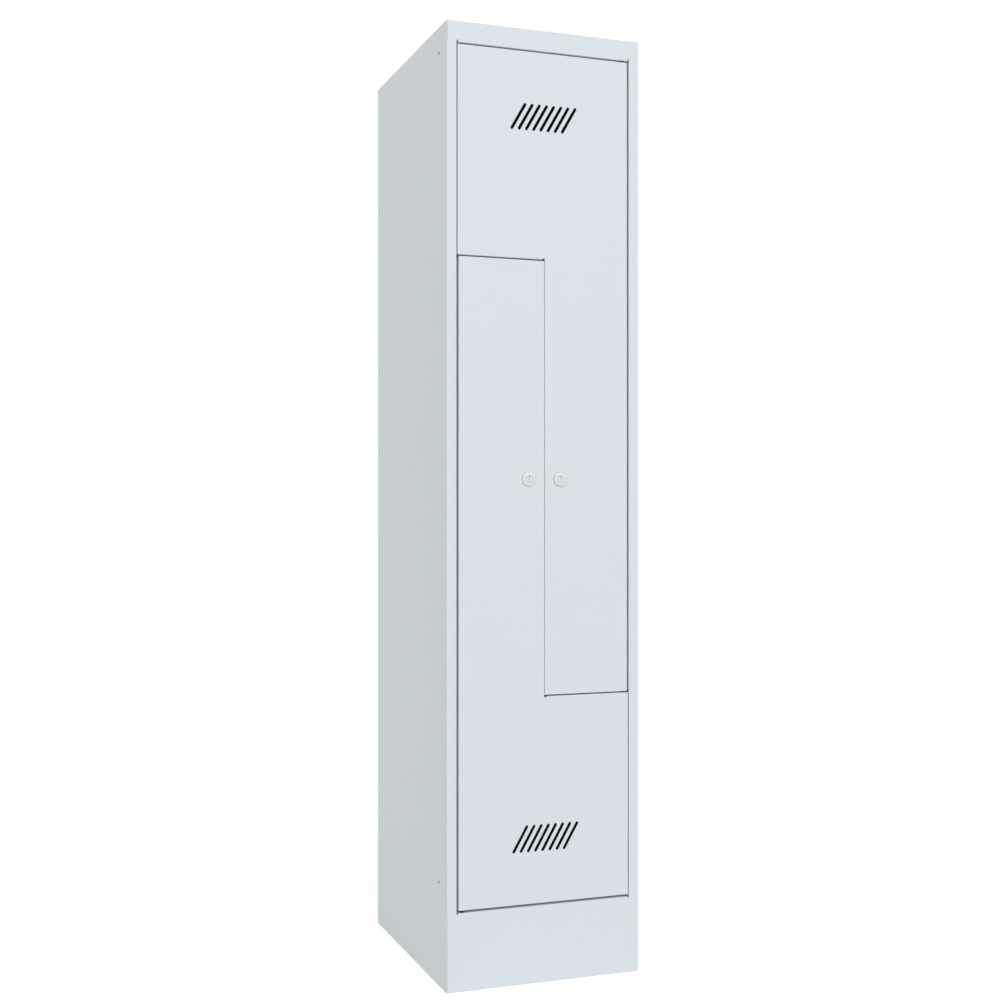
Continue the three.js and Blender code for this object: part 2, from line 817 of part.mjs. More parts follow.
for (const [turned, door, otherDoor, shelf] of [
  [false, "lower_door", "upper_door", "upper_shelf"],
  [true, "upper_door", "lower_door", "lower_shelf"],
]) {
  const group = halfGroup(turned);
  const lockZ = turned ? 2 * doorsMiddle - lockHeight : lockHeight;
  const frameEdge = turned ? 2 * doorsMiddle - openingTop : openingBottom;
  const longEnd = doorTop - stiffenerEndGap;
  const longStiffener = stiffener(-doorHingeSide + stiffenerFromSide, stiffenerBottom, longEnd);
  const shortEnd = doorShoulder - stiffenerEndGap;
  const shortStiffener = stiffener(doorClosingSide - stiffenerFromSide, stiffenerBottom, shortEnd);
  const stileBuffer = buffer(stileBufferX, openingTop - stileBufferFromEnd);
  const partitionBuffer = buffer(middleBufferX, upperStep - middleBufferFromStep);

  add(group, shelf, shelfPanel(), painted);
  add(group, door + "_panel", doorPanel(-lockOffset, lockZ), painted);
  add(group, door + "_long_stiffener", longStiffener, painted);
  add(group, door + "_short_stiffener", shortStiffener, painted);
  add(group, door + "_outer_bush", bush(doorBottom, 1, doorBottom - frameEdge - seatGap), nylon);
  add(group, door + "_middle_bush", bush(doorTop, -1, bracketClearance - seatGap), nylon);
  add(group, door + "_outer_pivot_pin", outerPin(frameEdge), blackened);
  add(group, door + "_middle_pivot_bracket", middlePivot(), blackened);
  add(group, otherDoor + "_stile_buffer", stileBuffer, rubber);
  add(group, door + "_partition_buffer", partitionBuffer, rubber);
}

// Locks stand the same way up on both doors
for (const [door, x] of [
  ["lower_door", -lockOffset],
  ["upper_door", lockOffset],
]) {
  add(locker, door + "_lock_housing", lockHousing(x, lockHeight), nickel);
  add(locker, door + "_lock_nut", lockNut(x, lockHeight), zinc);
  add(locker, door + "_lock_plug", lockPlug(x, lockHeight), nickel);
  add(locker, door + "_lock_cam", lockCam(x, lockHeight), zinc);
  add(locker, door + "_cam_screw", camScrew(x, lockHeight), zinc);
}

// Clothes rails: the upper one spans the cabinet, the lower one the left column
const upperRailZ = openingTop - upperRailDrop;
const lowerRailZ = upperStep - lowerRailDrop;
const rails = [
  ["upper", -wallInside, wallInside, upperRailZ, halfWidth / 2],
  ["lower", -wallInside, -halfSheet, lowerRailZ, -halfWidth / 2],
];
for (const [level, x0, x1, z, hookMiddle] of rails) {
  add(locker, level + "_clothes_rail", clothesRail(x0, x1, z), chrome);
  add(locker, level + "_rail_left_socket", railSocket(x0, 1, z), greyPlastic);
  add(locker, level + "_rail_right_socket", railSocket(x1, -1, z), greyPlastic);
  for (const [hook, at] of [
    ["left", hookMiddle - hookSpacing / 2],
    ["right", hookMiddle + hookSpacing / 2],
  ]) {
    add(locker, level + "_rail_" + hook + "_hook", slidingHook(at, z), greyPlastic);
  }
}

export default locker;
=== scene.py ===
"""Looks of a two-person steel locker with Z-shaped compartments.

Metres, +Z up, front towards -Y, origin on the floor under the middle of the cabinet.
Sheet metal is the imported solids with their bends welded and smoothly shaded.
Locks, pivots, rails, hooks and buffers are drawn again, finer.
"""
import json
import math

import bmesh
import bpy
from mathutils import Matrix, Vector


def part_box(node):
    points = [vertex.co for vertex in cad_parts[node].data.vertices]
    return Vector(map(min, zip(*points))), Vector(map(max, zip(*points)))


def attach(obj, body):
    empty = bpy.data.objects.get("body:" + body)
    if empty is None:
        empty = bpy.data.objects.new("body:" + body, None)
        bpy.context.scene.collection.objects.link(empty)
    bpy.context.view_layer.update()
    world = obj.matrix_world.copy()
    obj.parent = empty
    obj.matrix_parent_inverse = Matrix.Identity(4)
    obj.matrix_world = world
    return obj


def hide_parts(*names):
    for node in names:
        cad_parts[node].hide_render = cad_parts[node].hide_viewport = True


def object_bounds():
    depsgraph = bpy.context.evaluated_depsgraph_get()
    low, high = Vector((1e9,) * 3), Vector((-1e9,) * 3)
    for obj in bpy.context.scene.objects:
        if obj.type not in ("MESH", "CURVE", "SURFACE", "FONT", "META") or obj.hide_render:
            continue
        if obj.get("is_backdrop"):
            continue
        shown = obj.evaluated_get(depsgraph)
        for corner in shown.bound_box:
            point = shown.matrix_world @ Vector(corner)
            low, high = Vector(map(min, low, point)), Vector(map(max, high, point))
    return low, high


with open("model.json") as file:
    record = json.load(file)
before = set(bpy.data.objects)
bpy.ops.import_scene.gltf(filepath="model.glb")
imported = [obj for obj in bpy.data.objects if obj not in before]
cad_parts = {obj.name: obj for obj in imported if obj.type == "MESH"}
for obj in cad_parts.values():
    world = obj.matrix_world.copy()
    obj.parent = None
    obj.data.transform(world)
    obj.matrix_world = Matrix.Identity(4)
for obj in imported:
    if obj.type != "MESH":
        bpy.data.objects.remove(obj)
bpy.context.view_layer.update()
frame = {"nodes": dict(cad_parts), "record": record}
MM = 0.001
QUARTER_TURN = math.pi / 2

# The photograph's view, solved from the corners of the cabinet
IMAGE_SIZE = 1000
CAMERA_PLACE = (-1.0430, -2.8738, 0.9257)
CAMERA_YAW = math.radians(19.915)
FOCAL_PIXELS = 1450.5
HORIZON_DROP_PIXELS = 6.22
SENSOR_WIDTH = 36.0

body_of_node = {
    node: body
    for body, nodes in frame["record"]["behaviour"]["bodies"].items()
    for node in nodes
}
slot_of_node = {row["node"]: row["material_slot"] for row in frame["record"]["subparts"]}


# Shader node groups

def new_group(name, inputs, outputs):
    """A shader group with named sockets: inputs are (name, kind, default), outputs are (name, kind)."""
    group = bpy.data.node_groups.new(name, "ShaderNodeTree")
    for label, kind, value in inputs:
        socket = group.interface.new_socket(label, in_out="INPUT", socket_type="NodeSocket" + kind)
        socket.default_value = value
    for label, kind in outputs:
        group.interface.new_socket(label, in_out="OUTPUT", socket_type="NodeSocket" + kind)
    return group, group.nodes.new("NodeGroupInput"), group.nodes.new("NodeGroupOutput")


def add_node(tree, kind, settings=None, **values):
    """A node with its settings, and the start values or links of its inputs, i0 being the first of them."""
    node = tree.nodes.new("ShaderNode" + kind)
    for label, value in (settings or {}).items():
        setattr(node, label, value)
    for label, value in values.items():
        by_place = label[0] == "i" and label[1:].isdigit()
        socket = node.inputs[int(label[1:]) if by_place else label]
        if isinstance(value, bpy.types.NodeSocket):
            tree.links.new(value, socket)
        else:
            socket.default_value = value
    return node


def math_node(tree, operation, first, second=0.0):
    return add_node(tree, "Math", {"operation": operation}, i0=first, i1=second).outputs[0]


def make_skin_group():
    """Fine skin of a sprayed or moulded surface: a height for bump, and mottling about one."""
    group, given, result = new_group(
        "surface skin",
        [("Grain Size", "Float", 1.0), ("Mottle Size", "Float", 60.0), ("Mottle", "Float", 0.02)],
        [("Height", "Float"), ("Tone", "Float"), ("Patch", "Float")],
    )
    place = add_node(group, "TexCoord").outputs["Object"]
    grain_scale = math_node(group, "DIVIDE", 1 / MM, given.outputs["Grain Size"])
    mottle_scale = math_node(group, "DIVIDE", 1 / MM, given.outputs["Mottle Size"])
    grain = add_node(group, "TexNoise", Vector=place, Scale=grain_scale, Detail=2.0, Roughness=0.45)
    patch = add_node(group, "TexNoise", Vector=place, Scale=mottle_scale, Detail=3.0, Roughness=0.55)
    centred = math_node(group, "SUBTRACT", patch.outputs["Fac"], 0.5)
    swing = math_node(group, "MULTIPLY", centred, given.outputs["Mottle"])
    tone = math_node(group, "ADD", swing, 1.0)
    group.links.new(grain.outputs["Fac"], result.inputs["Height"])
    group.links.new(tone, result.inputs["Tone"])
    group.links.new(patch.outputs["Fac"], result.inputs["Patch"])
    return group


def make_turning_group():
    """Fine rings left by turning, about an axis along Y through a centre, with a height for bump."""
    group, given, result = new_group(
        "turning marks",
        [("Centre", "Vector", (0, 0, 0)), ("Pitch", "Float", 0.2)],
        [("Height", "Float")],
    )
    place = add_node(group, "TexCoord").outputs["Object"]
    offset = add_node(group, "VectorMath", {"operation": "SUBTRACT"}, i0=place, i1=given.outputs["Centre"])
    flat = add_node(group, "VectorMath", {"operation": "MULTIPLY"}, i0=offset.outputs[0], i1=(1, 0, 1))
    radius = add_node(group, "VectorMath", {"operation": "LENGTH"}, i0=flat.outputs[0]).outputs["Value"]
    pitch = math_node(group, "MULTIPLY", given.outputs["Pitch"], MM)
    turns = math_node(group, "DIVIDE", radius, pitch)
    rings = add_node(group, "TexNoise", {"noise_dimensions": "1D"}, W=turns, Scale=1.0, Detail=2.0)
    group.links.new(rings.outputs["Fac"], result.inputs["Height"])
    return group


skin_group = make_skin_group()
turning_group = make_turning_group()


def new_material(name):
    material = bpy.data.materials.new(name)
    material.use_nodes = True
    tree = material.node_tree
    shader = tree.nodes["Principled BSDF"]
    return material, tree, shader


def place_group(tree, group, **values):
    node = tree.nodes.new("ShaderNodeGroup")
    node.node_tree = group
    for label, value in values.items():
        node.inputs[label.replace("_", " ")].default_value = value
    return node


def tinted(tree, colour, tone):
    """The colour times a tone that changes over the surface."""
    return add_node(tree, "VectorMath", {"operation": "SCALE"}, i0=colour, Scale=tone).outputs[0]


def vary_roughness(tree, shader, patch, middle, swing):
    """Roughness that drifts from patch to patch, by a share of its middle value."""
    drift = add_node(tree, "MapRange", Value=patch)
    drift.inputs["To Min"].default_value = middle * (1 - swing)
    drift.inputs["To Max"].default_value = middle * (1 + swing)
    tree.links.new(drift.outputs[0], shader.inputs["Roughness"])


def raise_relief(tree, shader, height, depth):
    """Bump from a height, its depth in millimetres."""
    relief = add_node(tree, "Bump", Height=height, Strength=1.0, Distance=depth * MM)
    tree.links.new(relief.outputs[0], shader.inputs["Normal"])


def coated(name, colour, roughness, grain, bump, mottle=0.02, metallic=0.0, patches=60.0):
    """A coating, plastic or plated finish: a skin of fine grain over a slightly uneven colour."""
    material, tree, shader = new_material(name)
    skin = place_group(tree, skin_group, Grain_Size=grain, Mottle_Size=patches, Mottle=mottle)
    tree.links.new(tinted(tree, colour, skin.outputs["Tone"]), shader.inputs["Base Color"])
    vary_roughness(tree, shader, skin.outputs["Patch"], roughness, swing=0.08)
    shader.inputs["Metallic"].default_value = metallic
    raise_relief(tree, shader, skin.outputs["Height"], bump)
    return material


def turned_metal(name, colour, roughness, centre, pitch, bump, metallic):
    """Turned and plated metal, with fine rings about its axis."""
    material, tree, shader = new_material(name)
    skin = place_group(tree, skin_group, Grain_Size=0.6, Mottle_Size=8.0, Mottle=0.05)
    rings = place_group(tree, turning_group, Centre=centre, Pitch=pitch)
    tree.links.new(tinted(tree, colour, skin.outputs["Tone"]), shader.inputs["Base Color"])
    vary_roughness(tree, shader, skin.outputs["Patch"], roughness, swing=0.2)
    shader.inputs["Metallic"].default_value = metallic
    raise_relief(tree, shader, rings.outputs["Height"], bump)
    return material


# Finishes, by the record's slots

PAINT = (0.692, 0.76, 0.808)
BRIGHT_ZINC = (0.62, 0.64, 0.66)
BLACK_ZINC = (0.04, 0.04, 0.045)
CHROME = (0.78, 0.79, 0.80)
BLACK_NYLON = (0.025, 0.026, 0.028)
GREY_NYLON = (0.27, 0.30, 0.32)
BLACK_RUBBER = (0.03, 0.03, 0.03)
SATIN_NICKEL = (0.66, 0.72, 0.70)
PLUG_NICKEL = (0.68, 0.74, 0.68)
finishes = {
    "cabinet_paint": coated("cabinet powder coat", PAINT, roughness=0.42, grain=1.6, bump=0.02),
    "door_paint": coated("door powder coat", PAINT, roughness=0.42, grain=1.6, bump=0.02),
    "zinc_plate": coated(
        "bright zinc", BRIGHT_ZINC,
        roughness=0.3, grain=0.5, bump=0.01, mottle=0.12, metallic=1.0, patches=9.0,
    ),
    "black_zinc": coated(
        "black zinc", BLACK_ZINC,
        roughness=0.42, grain=0.5, bump=0.01, mottle=0.3, metallic=0.7, patches=9.0,
    ),
    "rail_chrome": coated("chrome rail", CHROME, roughness=0.08, grain=0.4, bump=0.001, metallic=1.0),
    "black_nylon": coated("nylon bush", BLACK_NYLON, roughness=0.55, grain=0.8, bump=0.01, mottle=0.1),
    "grey_plastic": coated("grey nylon", GREY_NYLON, roughness=0.45, grain=0.5, bump=0.015, mottle=0.04),
    "buffer_rubber": coated("buffer rubber", BLACK_RUBBER, roughness=0.8, grain=0.4, bump=0.02, mottle=0.2),
}


# Sheet metal: a welded copy of each solid, smooth over its bends and sharp at its cut edges

WELD_DISTANCE = 0.002 * MM
FLAT_ANGLE = math.radians(0.5)
BEND_SMOOTH_ANGLE = math.radians(40)


def finish_piece(name, mesh, material, node, replaces=True):
    """Puts a mesh in the scene as a piece that rides with the node's body and takes its slot."""
    mesh.materials.clear()
    mesh.materials.append(material)
    piece = bpy.data.objects.new(name, mesh)
    bpy.context.scene.collection.objects.link(piece)
    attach(piece, body_of_node[node])
    if replaces:
        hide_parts(node)
    return piece


def smooth_by_angle(bm, angle):
    for face in bm.faces:
        face.smooth = True
    for edge in bm.edges:
        edge.smooth = edge.calc_face_angle(0.0) < angle


def bent_sheet(node, material):
    source = frame["nodes"][node].data
    mesh = bpy.data.meshes.new(node + "_sheet")
    corners = [vertex.co for vertex in source.vertices]
    mesh.from_pydata(corners, [], [tuple(polygon.vertices) for polygon in source.polygons])
    bm = bmesh.new()
    bm.from_mesh(mesh)
    bmesh.ops.remove_doubles(bm, verts=bm.verts, dist=WELD_DISTANCE)
    bmesh.ops.dissolve_limit(bm, angle_limit=FLAT_ANGLE, verts=bm.verts, edges=bm.edges)
    smooth_by_angle(bm, BEND_SMOOTH_ANGLE)
    bm.to_mesh(mesh)
    bm.free()
    piece = finish_piece(node + "_sheet", mesh, material, node)
    shading = piece.modifiers.new("flat faces stay flat", "WEIGHTED_NORMAL")
    shading.keep_sharp = True
    return piece


for node, slot in slot_of_node.items():
    if slot in ("cabinet_paint", "door_paint"):
        bent_sheet(node, finishes[slot])


# Small parts, drawn in millimetres

def about_x(y, z):
    """Places a turned point (radius, angle, height) about an axis along X."""
    return lambda radius, angle, height: (height, y + radius * math.cos(angle), z + radius * math.sin(angle))


def about_y(x, z):
    return lambda radius, angle, height: (x + radius * math.cos(angle), height, z + radius * math.sin(angle))


def about_z(x, y):
    return lambda radius, angle, height: (x + radius * math.cos(angle), y + radius * math.sin(angle), height)


STRAIGHT = math.radians(170)
LONGEST_EASE = 0.45
MERGE_DISTANCE = 0.001 * MM
SMOOTH_ANGLE = math.radians(35)
FINE_ANGLE = math.radians(28)
SEGMENTS = 96
SMALL_SEGMENTS = 64
TINY_SEGMENTS = 48


def eased(outline, radius, steps=3):
    """A closed outline with its corners rounded, apart from those on the turning axis.

    A rounding takes up no more than a given share of the side on either hand.
    """
    result = []
    for i, point in enumerate(outline):
        corner = Vector(point)
        back = Vector(outline[i - 1]) - corner
        ahead = Vector(outline[(i + 1) % len(outline)]) - corner
        opening = back.angle(ahead)
        if corner.x == 0 or opening > STRAIGHT:
            result.append(corner)
            continue
        shorter = min(back.length, ahead.length)
        reach = min(radius / math.tan(opening / 2), LONGEST_EASE * shorter)
        fitted = reach * math.tan(opening / 2)
        inward = (back.normalized() + ahead.normalized()).normalized()
        centre = corner + inward * (fitted / math.sin(opening / 2))
        first = corner + back.normalized() * reach - centre
        last = corner + ahead.normalized() * reach - centre
        for k in range(steps + 1):
            result.append(centre + first.lerp(last, k / steps).normalized() * fitted)
    return result


def closed_skin(bm, rings, round_again):
    """Faces between each ring of points and the next, capped at both ends unless they go round again."""
    made = [[bm.verts.new([MM * value for value in point]) for point in ring] for ring in rings]
    pairs = list(zip(made, made[1:]))
    if round_again:
        pairs.append((made[-1], made[0]))
    else:
        bm.faces.new(made[0])
        bm.faces.new(made[-1])
    for ring, following in pairs:
        for k, vertex in enumerate(ring):
            after = (k + 1) % len(ring)
            bm.faces.new((vertex, ring[after], following[after], following[k]))


def turn(bm, outline, place, segments=SEGMENTS):
    """A body turned from a closed outline of (radius, height) points."""
    angles = [2 * math.pi * step / segments for step in range(segments)]
    closed_skin(bm, [[place(radius, angle, height) for radius, height in outline] for angle in angles], True)


def upright_block(bm, outline, low, high):
    """A closed outline in x and y, carried up from low to high."""
    closed_skin(bm, [[(x, y, low) for x, y in outline], [(x, y, high) for x, y in outline]], False)


def rearward_block(bm, outline, front, rear):
    """A closed outline in x and z, carried back from front to rear."""
    closed_skin(bm, [[(x, front, z) for x, z in outline], [(x, rear, z) for x, z in outline]], False)


def finished_mesh(name, bm, angle=SMOOTH_ANGLE):
    """The built shells as a mesh: doubles merged, faces out, smooth where they meet at less than an angle."""
    bmesh.ops.remove_doubles(bm, verts=bm.verts, dist=MERGE_DISTANCE)
    bare_edges = [edge for edge in bm.edges if not edge.link_faces]
    bmesh.ops.delete(bm, geom=bare_edges, context="EDGES")
    bmesh.ops.recalc_face_normals(bm, faces=bm.faces)
    smooth_by_angle(bm, angle)
    mesh = bpy.data.meshes.new(name)
    bm.to_mesh(mesh)
    bm.free()
    return mesh


def evaluated(mesh, add_modifiers):
    """A mesh with modifiers worked into it, and with nothing live left on it."""
    holder = bpy.data.objects.new("work", mesh)
    bpy.context.scene.collection.objects.link(holder)
    add_modifiers(holder)
    graph = bpy.context.evaluated_depsgraph_get()
    result = bpy.data.meshes.new_from_object(holder.evaluated_get(graph))
    bpy.data.objects.remove(holder)
    return result


def combined(mesh, tool_mesh, operation="DIFFERENCE"):
    """A mesh with another shape taken out of it, or joined to it."""
    tool = bpy.data.objects.new("tool", tool_mesh)
    bpy.context.scene.collection.objects.link(tool)

    def add_operation(holder):
        step = holder.modifiers.new("combined", "BOOLEAN")
        step.solver = "EXACT"
        step.operation = operation
        step.object = tool

    result = evaluated(mesh, add_operation)
    bpy.data.objects.remove(tool)
    bm = bmesh.new()
    bm.from_mesh(result)
    return finished_mesh(mesh.name + "_made", bm, FINE_ANGLE)


def box_mm(node):
    low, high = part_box(node)
    return [value / MM for value in low], [value / MM for value in high]


def middle_mm(node):
    low, high = box_mm(node)
    return [(a + b) / 2 for a, b in zip(low, high)]


# Plates with eased edges: cams and nuts

PLATE_EDGE = 0.3


def eased_plate(node, material):
    piece = bent_sheet(node, material)
    rounding = piece.modifiers.new("eased edges", "BEVEL")
    rounding.width = PLATE_EDGE * MM
    rounding.segments = 2
    rounding.limit_method = "ANGLE"
    rounding.angle_limit = BEND_SMOOTH_ANGLE
    rounding.harden_normals = True


for node in slot_of_node:
    if node.endswith(("_lock_cam", "_lock_nut")):
        eased_plate(node, finishes["zinc_plate"])


# Locks

ROSETTE_HEIGHT = 3.0
ROSETTE_RIM = 1.2
ROSETTE_CROWN = 9.6
ROSETTE_EASE = 0.15
ROSETTE_STEPS = 12
BORE = 7.3
BORE_CHAMFER = 0.6
BARREL = 9.0
BARREL_NECK = 1.6
THREAD_PITCH = 1.0
THREAD_DEPTH = 0.45
THREAD_SPARE = 0.8


def lock_housing(node):
    """The threaded barrel with its domed rosette."""
    low, high = box_mm(node)
    x, _, z = middle_mm(node)
    front, rear = low[1], high[1]
    rosette = (high[0] - low[0]) / 2
    seat = front + ROSETTE_HEIGHT
    neck_end = seat + BARREL_NECK
    root = BARREL - THREAD_DEPTH
    outline = [(BORE, rear), (BORE, front + BORE_CHAMFER), (BORE + BORE_CHAMFER, front)]
    for step in range(ROSETTE_STEPS + 1):
        angle = step / ROSETTE_STEPS * QUARTER_TURN
        out = ROSETTE_CROWN + (rosette - ROSETTE_CROWN) * math.sin(angle)
        rise = ROSETTE_RIM + (ROSETTE_HEIGHT - ROSETTE_RIM) * math.cos(angle)
        outline.append((out, seat - rise))
    outline += [(rosette, seat - ROSETTE_EASE), (rosette - ROSETTE_EASE, seat)]
    outline += [(BARREL, seat), (BARREL, neck_end)]
    turns = int((rear - neck_end - THREAD_SPARE) / THREAD_PITCH)
    for step in range(turns):
        groove = neck_end + (step + 0.5) * THREAD_PITCH
        outline += [(root, groove), (BARREL, groove + THREAD_PITCH / 2)]
    outline.append((root, rear))
    bm = bmesh.new()
    turn(bm, outline, about_y(x, z))
    return finished_mesh(node + "_turned", bm, FINE_ANGLE)


KEYWAY = [(-1.0, -3.0), (1.0, -3.0), (1.0, -0.6), (0.45, 0.0), (1.0, 0.6), (1.0, 6.0),
          (-1.0, 6.0), (-1.0, 3.2), (-0.45, 2.6), (-1.0, 2.0)]
KEYWAY_DEPTH = 8.0
SHUTTER_FIT = (0.85, 0.97)
SHUTTER_SET_BACK = 2.2
SHUTTER_SHEET = 0.5
PLUG = 7.0
PLUG_EASE = 0.3
DISH_RIM = 5.6
DISH_FLOOR = 4.9
DISH_DEPTH = 0.5
TAIL_LENGTH = 4.4
TAIL_HALF = 3.5
TAIL_EASE = 0.4
SCREW_HOLE = 2.3
SCREW_HOLE_DEPTH = 8.3
OVERRUN = 1.0
OVERLAP = 0.5


def lock_plug(node):
    """The plug with a shallow dish, a warded keyway behind a dust shutter, and its square tail."""
    low, high = box_mm(node)
    x, _, z = middle_mm(node)
    front, rear = low[1], high[1]
    shoulder = rear - TAIL_LENGTH
    dish = [(0, front + DISH_DEPTH), (DISH_FLOOR, front + DISH_DEPTH), (DISH_RIM, front)]
    side = [(PLUG - PLUG_EASE, front), (PLUG, front + PLUG_EASE), (PLUG, shoulder), (0, shoulder)]
    bm = bmesh.new()
    turn(bm, dish + side, about_y(x, z))
    body = finished_mesh(node + "_turned", bm, FINE_ANGLE)
    bm = bmesh.new()
    rearward_block(bm, [(x + u, z + v) for u, v in KEYWAY], front - OVERRUN, front + KEYWAY_DEPTH)
    body = combined(body, finished_mesh(node + "_keyway", bm))
    bm = bmesh.new()
    half = TAIL_HALF
    square = [(x - half, z - half), (x + half, z - half), (x + half, z + half), (x - half, z + half)]
    rearward_block(bm, eased(square, TAIL_EASE), shoulder - OVERLAP, rear)
    body = combined(body, finished_mesh(node + "_tail", bm), "UNION")
    bm = bmesh.new()
    hole_end = rear - SCREW_HOLE_DEPTH
    hole = [(0, hole_end), (SCREW_HOLE, hole_end), (SCREW_HOLE, rear + OVERRUN), (0, rear + OVERRUN)]
    turn(bm, hole, about_y(x, z), TINY_SEGMENTS)
    body = combined(body, finished_mesh(node + "_screw_hole", bm))
    bm = bmesh.new()
    bm.from_mesh(body)
    shutter = [(x + u * SHUTTER_FIT[0], z + v * SHUTTER_FIT[1]) for u, v in KEYWAY]
    shutter_front = front + SHUTTER_SET_BACK
    rearward_block(bm, shutter, shutter_front, shutter_front + SHUTTER_SHEET)
    return finished_mesh(node + "_shape", bm, FINE_ANGLE)


RECESS_ARM = 2.2
RECESS_HALF_WIDTH = 0.55
RECESS_DEPTH = 1.6
RECESS_TAPER = 0.6


def cross_recess(x, z, face):
    """A cutter for a cross recess that narrows inwards from a screw's face."""
    arm, half = RECESS_ARM, RECESS_HALF_WIDTH
    quarter = [(arm, -half), (arm, half), (half, half)]
    outline = []
    for _ in range(4):
        outline += quarter
        quarter = [(-v, u) for u, v in quarter]
    rings = []
    for y, size in ((face + OVERLAP, 1), (face - RECESS_DEPTH, RECESS_TAPER)):
        rings.append([(x + u * size, y, z + v * size) for u, v in outline])
    bm = bmesh.new()
    closed_skin(bm, rings, False)
    return finished_mesh("cross_recess", bm)


SCREW_SHANK = 2.0
SCREW_POINT = 0.6
SCREW_HEAD = 5.0
SCREW_HEAD_HEIGHT = 2.6
SCREW_HEAD_EASE = 0.3
SCREW_CROWN = 3.4
SCREW_DOME = 1.5
SCREW_DOME_STEPS = 6


def cam_screw(node):
    """A pan-head screw, its head to the rear."""
    low, high = box_mm(node)
    x, _, z = middle_mm(node)
    front, rear = low[1], high[1]
    under = rear - SCREW_HEAD_HEIGHT
    outline = [(0, front), (SCREW_SHANK - SCREW_POINT, front), (SCREW_SHANK, front + SCREW_POINT)]
    outline += [(SCREW_SHANK, under), (SCREW_HEAD - SCREW_HEAD_EASE, under)]
    outline.append((SCREW_HEAD, under + SCREW_HEAD_EASE))
    for step in range(SCREW_DOME_STEPS + 1):
        angle = step / SCREW_DOME_STEPS * QUARTER_TURN
        out = SCREW_CROWN + (SCREW_HEAD - SCREW_CROWN) * math.cos(angle)
        outline.append((out, rear - SCREW_DOME + SCREW_DOME * math.sin(angle)))
    outline.append((0, rear))
    bm = bmesh.new()
    turn(bm, outline, about_y(x, z), SMALL_SEGMENTS)
    head = finished_mesh(node + "_turned", bm)
    return combined(head, cross_recess(x, z, rear))


for node, slot in slot_of_node.items():
    if slot == "lock_nickel":
        is_plug = node.endswith("_plug")
        make = lock_plug if is_plug else lock_housing
        colour = PLUG_NICKEL if is_plug else SATIN_NICKEL
        centre = [MM * value for value in middle_mm(node)]
        nickel = turned_metal(
            node + " nickel", colour, roughness=0.6, centre=centre, pitch=0.15, bump=0.004, metallic=0.4
        )
        finish_piece(node + "_shape", make(node), nickel, node)
    elif node.endswith("_cam_screw"):
        finish_piece(node + "_shape", cam_screw(node), finishes[slot], node)


# Pivots: nylon bushes, riveted pins and the plates at the steps

PIN_RADIUS = 2.5
PIN_POINT = 0.7
PIN_POINT_LENGTH = 0.8
PIN_EASE = 0.15
RIVET_HEAD = [(0, 0), (2.6, 0), (4.0, 0.4), (4.5, 0.9), (4.5, 1.5), (PIN_RADIUS, 1.5)]
BUSH_COLLAR = 1.0
BUSH_COLLAR_THICKNESS = 1.5
BUSH_WALL = 1.0
BUSH_EASE = 0.2


def pivot_bush(node):
    """A bush with a chamfered bore and a collar on the side that faces into the pan."""
    low, high = box_mm(node)
    x, y, _ = middle_mm(node)
    collar = (high[0] - low[0]) / 2
    body = collar - BUSH_COLLAR
    bore = body - BUSH_WALL
    collar_above = node in ("lower_door_outer_bush", "upper_door_middle_bush")
    nose, far = (low[2], high[2]) if collar_above else (high[2], low[2])
    under = far - BUSH_COLLAR_THICKNESS if collar_above else far + BUSH_COLLAR_THICKNESS
    outline = [(bore, nose), (body, nose), (body, under), (collar, under), (collar, far), (bore, far)]
    bm = bmesh.new()
    turn(bm, eased(outline, BUSH_EASE), about_z(x, y), SMALL_SEGMENTS)
    return finished_mesh(node + "_shape", bm)


def pin_end(tip, way):
    """The last points of a pin's outline, with its point; way is 1 for a tip at the top and -1 below."""
    return [(PIN_RADIUS, tip - way * PIN_POINT_LENGTH), (PIN_RADIUS - PIN_POINT, tip), (0, tip)]


def riveted_pin(node):
    """A pin with a domed head outside the return that it is riveted through."""
    low, high = box_mm(node)
    x, y, _ = middle_mm(node)
    head, tip, way = (low[2], high[2], 1) if node.startswith("lower") else (high[2], low[2], -1)
    outline = [(radius, head + way * height) for radius, height in RIVET_HEAD] + pin_end(tip, way)
    bm = bmesh.new()
    turn(bm, eased(outline, PIN_EASE), about_z(x, y), SMALL_SEGMENTS)
    return finished_mesh(node + "_shape", bm)


PIVOT_Y = -244.0
BRACKET_PLATE = 1.2
BRACKET_REACH = 3.0
BRACKET_CORNER = 2.0
BRACKET_EDGE = 0.15


def step_bracket(node):
    """The plate at a step with the pin that is pressed into it."""
    low, high = box_mm(node)
    pin_below = node.startswith("lower")
    inner = PIN_RADIUS + BRACKET_REACH
    x = high[0] - inner if pin_below else low[0] + inner
    plate = (high[2] - BRACKET_PLATE, high[2]) if pin_below else (low[2], low[2] + BRACKET_PLATE)
    tip, way = (low[2], -1) if pin_below else (high[2], 1)
    root = plate[0] + BRACKET_PLATE / 2
    corners = [(low[0], low[1]), (high[0], low[1]), (high[0], high[1]), (low[0], high[1])]
    bm = bmesh.new()
    upright_block(bm, eased(corners, BRACKET_CORNER, 6), *plate)
    turn(bm, [(0, root), (PIN_RADIUS, root)] + pin_end(tip, way), about_z(x, PIVOT_Y), SMALL_SEGMENTS)
    return finished_mesh(node + "_shape", bm)


